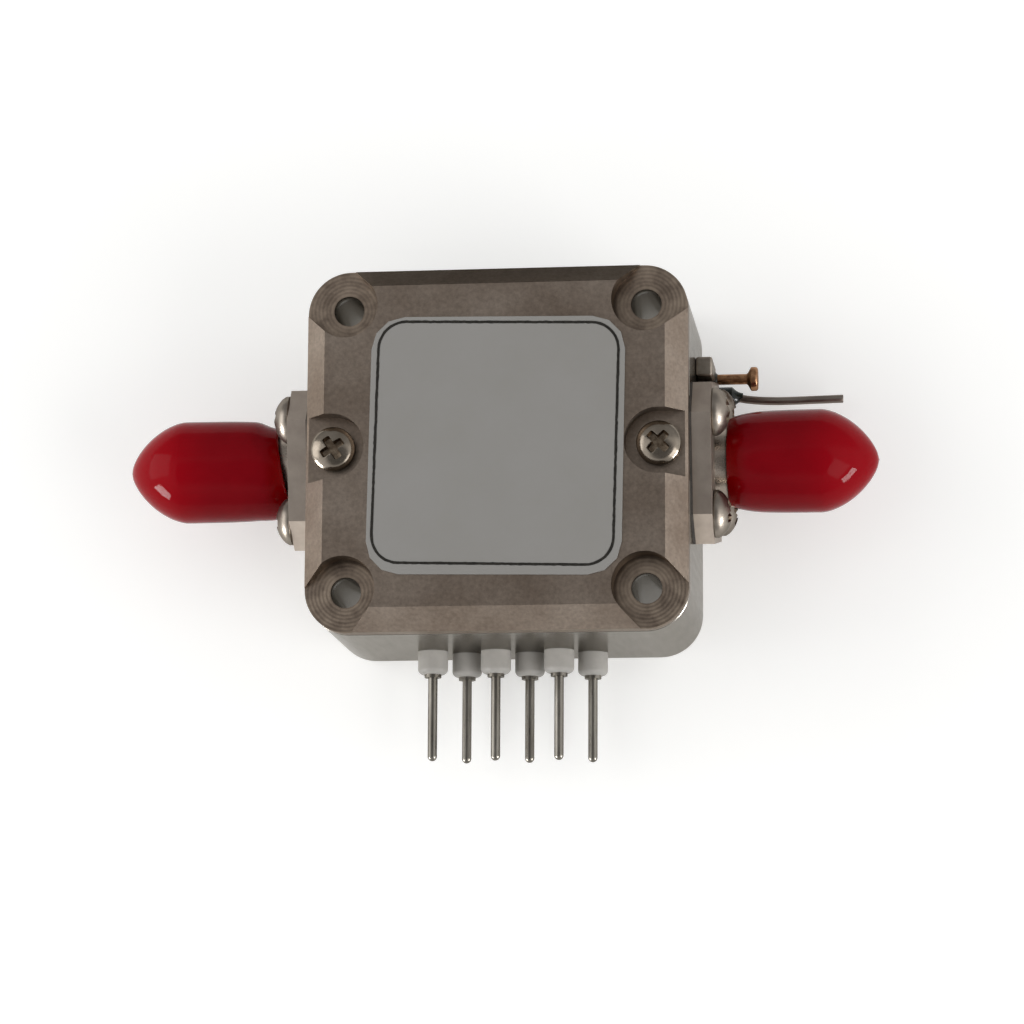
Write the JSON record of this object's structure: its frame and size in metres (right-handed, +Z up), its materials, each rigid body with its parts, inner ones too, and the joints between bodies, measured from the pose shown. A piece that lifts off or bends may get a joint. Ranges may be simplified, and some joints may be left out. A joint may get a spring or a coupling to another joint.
{
  "type": "rf attenuator",
  "caption": "Milled metal RF attenuator box with a coaxial jack and red dust cap on each end, control pins on the front and a supply lead and turret on one end.",
  "frame": {"origin": "centre of the flat underside of the housing", "axes": "+X from the left jack to the right jack, +Y away from the control pins, +Z up through the lid"},
  "size_m": [0.06, 0.0376, 0.0171],
  "materials": {
    "plated_housing": "nickel plate over milled aluminium, satin",
    "plated_lid": "nickel plate over milled aluminium, satin with fine tool marks",
    "plated_steel": "nickel plate, bright",
    "ptfe": "white PTFE, waxy",
    "red_vinyl": "dipped red vinyl, glossy",
    "label_film": "off-white label film, satin",
    "tarnished_brass": "bare brass, tarnished",
    "contact_gold": "gold flash over brass",
    "tinned_wire": "tinned copper wire",
    "sealing_bead": "dark green-black sealing epoxy",
    "board_laminate": "green solder mask",
    "chip_epoxy": "black moulding compound",
    "chip_ceramic": "fired ceramic"
  },
  "bodies": {
    "module": {"housing": "plated_housing", "lid": "plated_lid", "lid_screws": "plated_steel", "label": "label_film", "left_jack": "plated_steel", "right_jack": "plated_steel", "left_dielectric": "ptfe", "right_dielectric": "ptfe", "left_contact": "contact_gold", "right_contact": "contact_gold", "left_flange_pad": "plated_housing", "right_flange_pad": "plated_housing", "left_flange_screws": "plated_steel", "right_flange_screws": "plated_steel", "pin_insulator_1": "ptfe", "pin_insulator_2": "ptfe", "pin_insulator_3": "ptfe", "pin_insulator_4": "ptfe", "pin_insulator_5": "ptfe", "pin_insulator_6": "ptfe", "control_pin_1": "tinned_wire", "control_pin_2": "tinned_wire", "control_pin_3": "tinned_wire", "control_pin_4": "tinned_wire", "control_pin_5": "tinned_wire", "control_pin_6": "tinned_wire", "control_risers": "tinned_wire", "ground_block": "plated_housing", "ground_turret": "tarnished_brass", "supply_bead": "sealing_bead", "supply_lead": "tinned_wire", "supply_riser": "tinned_wire", "circuit_board": "board_laminate", "board_screws": "plated_steel", "attenuator_chip": "chip_epoxy", "blocking_capacitors": "chip_ceramic", "bypass_capacitors": "chip_ceramic", "regulator": "chip_epoxy"},
    "left_cap": {"left_cap": "red_vinyl"},
    "right_cap": {"right_cap": "red_vinyl"}
  },
  "joints": [
    {"name": "left_cap_pull", "type": "slide", "parent": "module", "child": "left_cap", "axis": [-1, 0, 0], "range_m": [0, 0.012]},
    {"name": "right_cap_pull", "type": "slide", "parent": "module", "child": "right_cap", "axis": [1, 0, 0], "range_m": [0, 0.012]}
  ]
}
